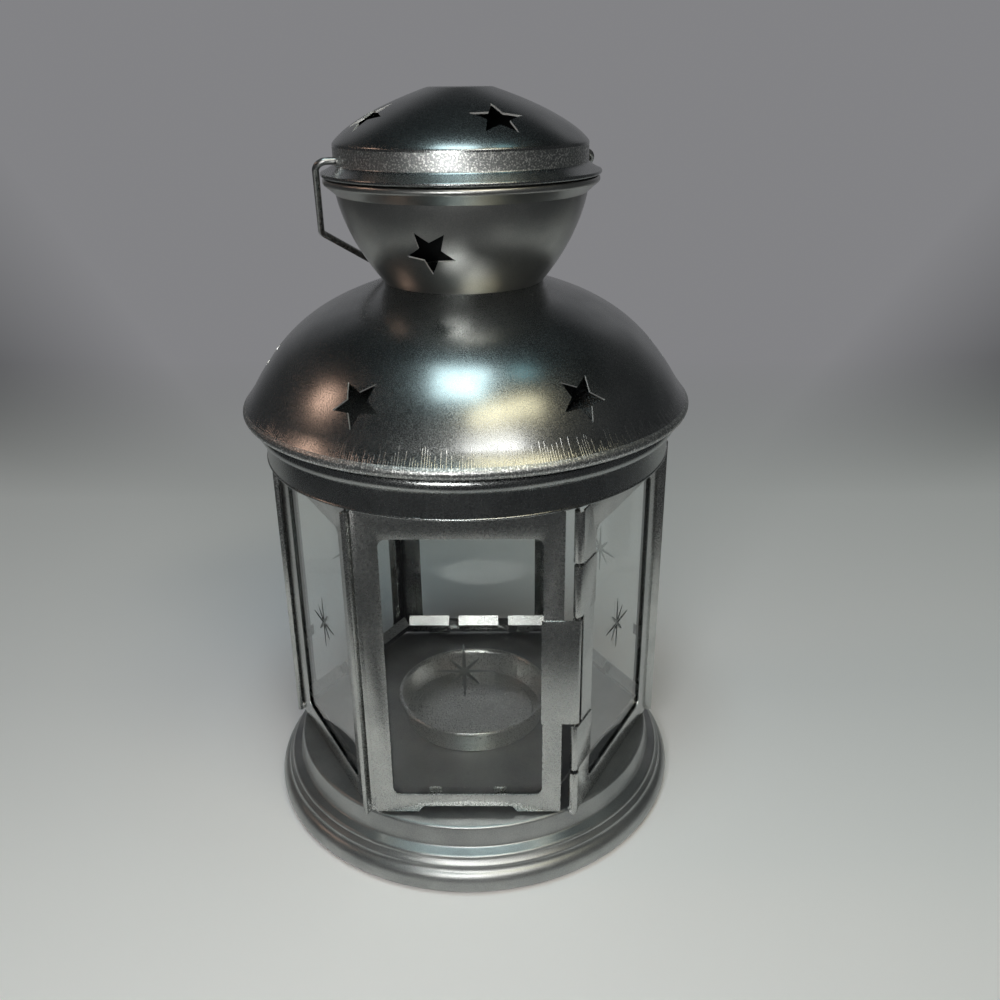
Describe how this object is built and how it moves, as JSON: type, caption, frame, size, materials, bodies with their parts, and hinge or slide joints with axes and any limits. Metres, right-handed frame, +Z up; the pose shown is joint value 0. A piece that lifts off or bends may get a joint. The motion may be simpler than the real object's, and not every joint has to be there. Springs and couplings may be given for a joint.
{
  "type": "tealight lantern",
  "caption": "Galvanised sheet tealight lantern: six-sided glazed cage with a hinged door, domed roof, bowl and cap with star cut-outs, and a wire bail.",
  "frame": {"origin": "centre of the round base, on the surface that it stands on", "axes": "+Z up along the lantern's axis, the door faces -Y, the door's hinge is on the +X side"},
  "size_m": [0.1278, 0.1278, 0.21],
  "materials": {
    "galvanised_sheet": "satin, spangled zinc",
    "bright_sheet": "bright zinc",
    "steel_wire": "drawn wire",
    "clear_glass": "clear, with a cut star"
  },
  "bodies": {
    "cage": {"base_pan": "galvanised_sheet", "tealight_cup": "bright_sheet", "panel_front_right": "galvanised_sheet", "panel_back_right": "galvanised_sheet", "panel_back": "galvanised_sheet", "panel_back_left": "galvanised_sheet", "panel_front_left": "galvanised_sheet", "pane_front_right": "clear_glass", "pane_back_right": "clear_glass", "pane_back": "clear_glass", "pane_back_left": "clear_glass", "pane_front_left": "clear_glass", "hinge_pin": "steel_wire", "collar": "galvanised_sheet", "roof": "galvanised_sheet", "upper_bowl": "galvanised_sheet", "cap": "galvanised_sheet"},
    "door": {"door_frame": "galvanised_sheet", "door_pane": "clear_glass"},
    "bail_handle": {"bail": "steel_wire"}
  },
  "joints": [
    {"name": "door_hinge", "type": "hinge", "parent": "cage", "child": "door", "pos_m": [0.03, -0.0498, 0.06595], "axis": [0, 0, 1], "range_deg": [0, 185]},
    {"name": "bail_hinge", "type": "hinge", "parent": "cage", "child": "bail_handle", "pos_m": [0, 0, 0.1932], "axis": [0.9311, 0.3649, 0], "range_deg": [0, 287]}
  ]
}
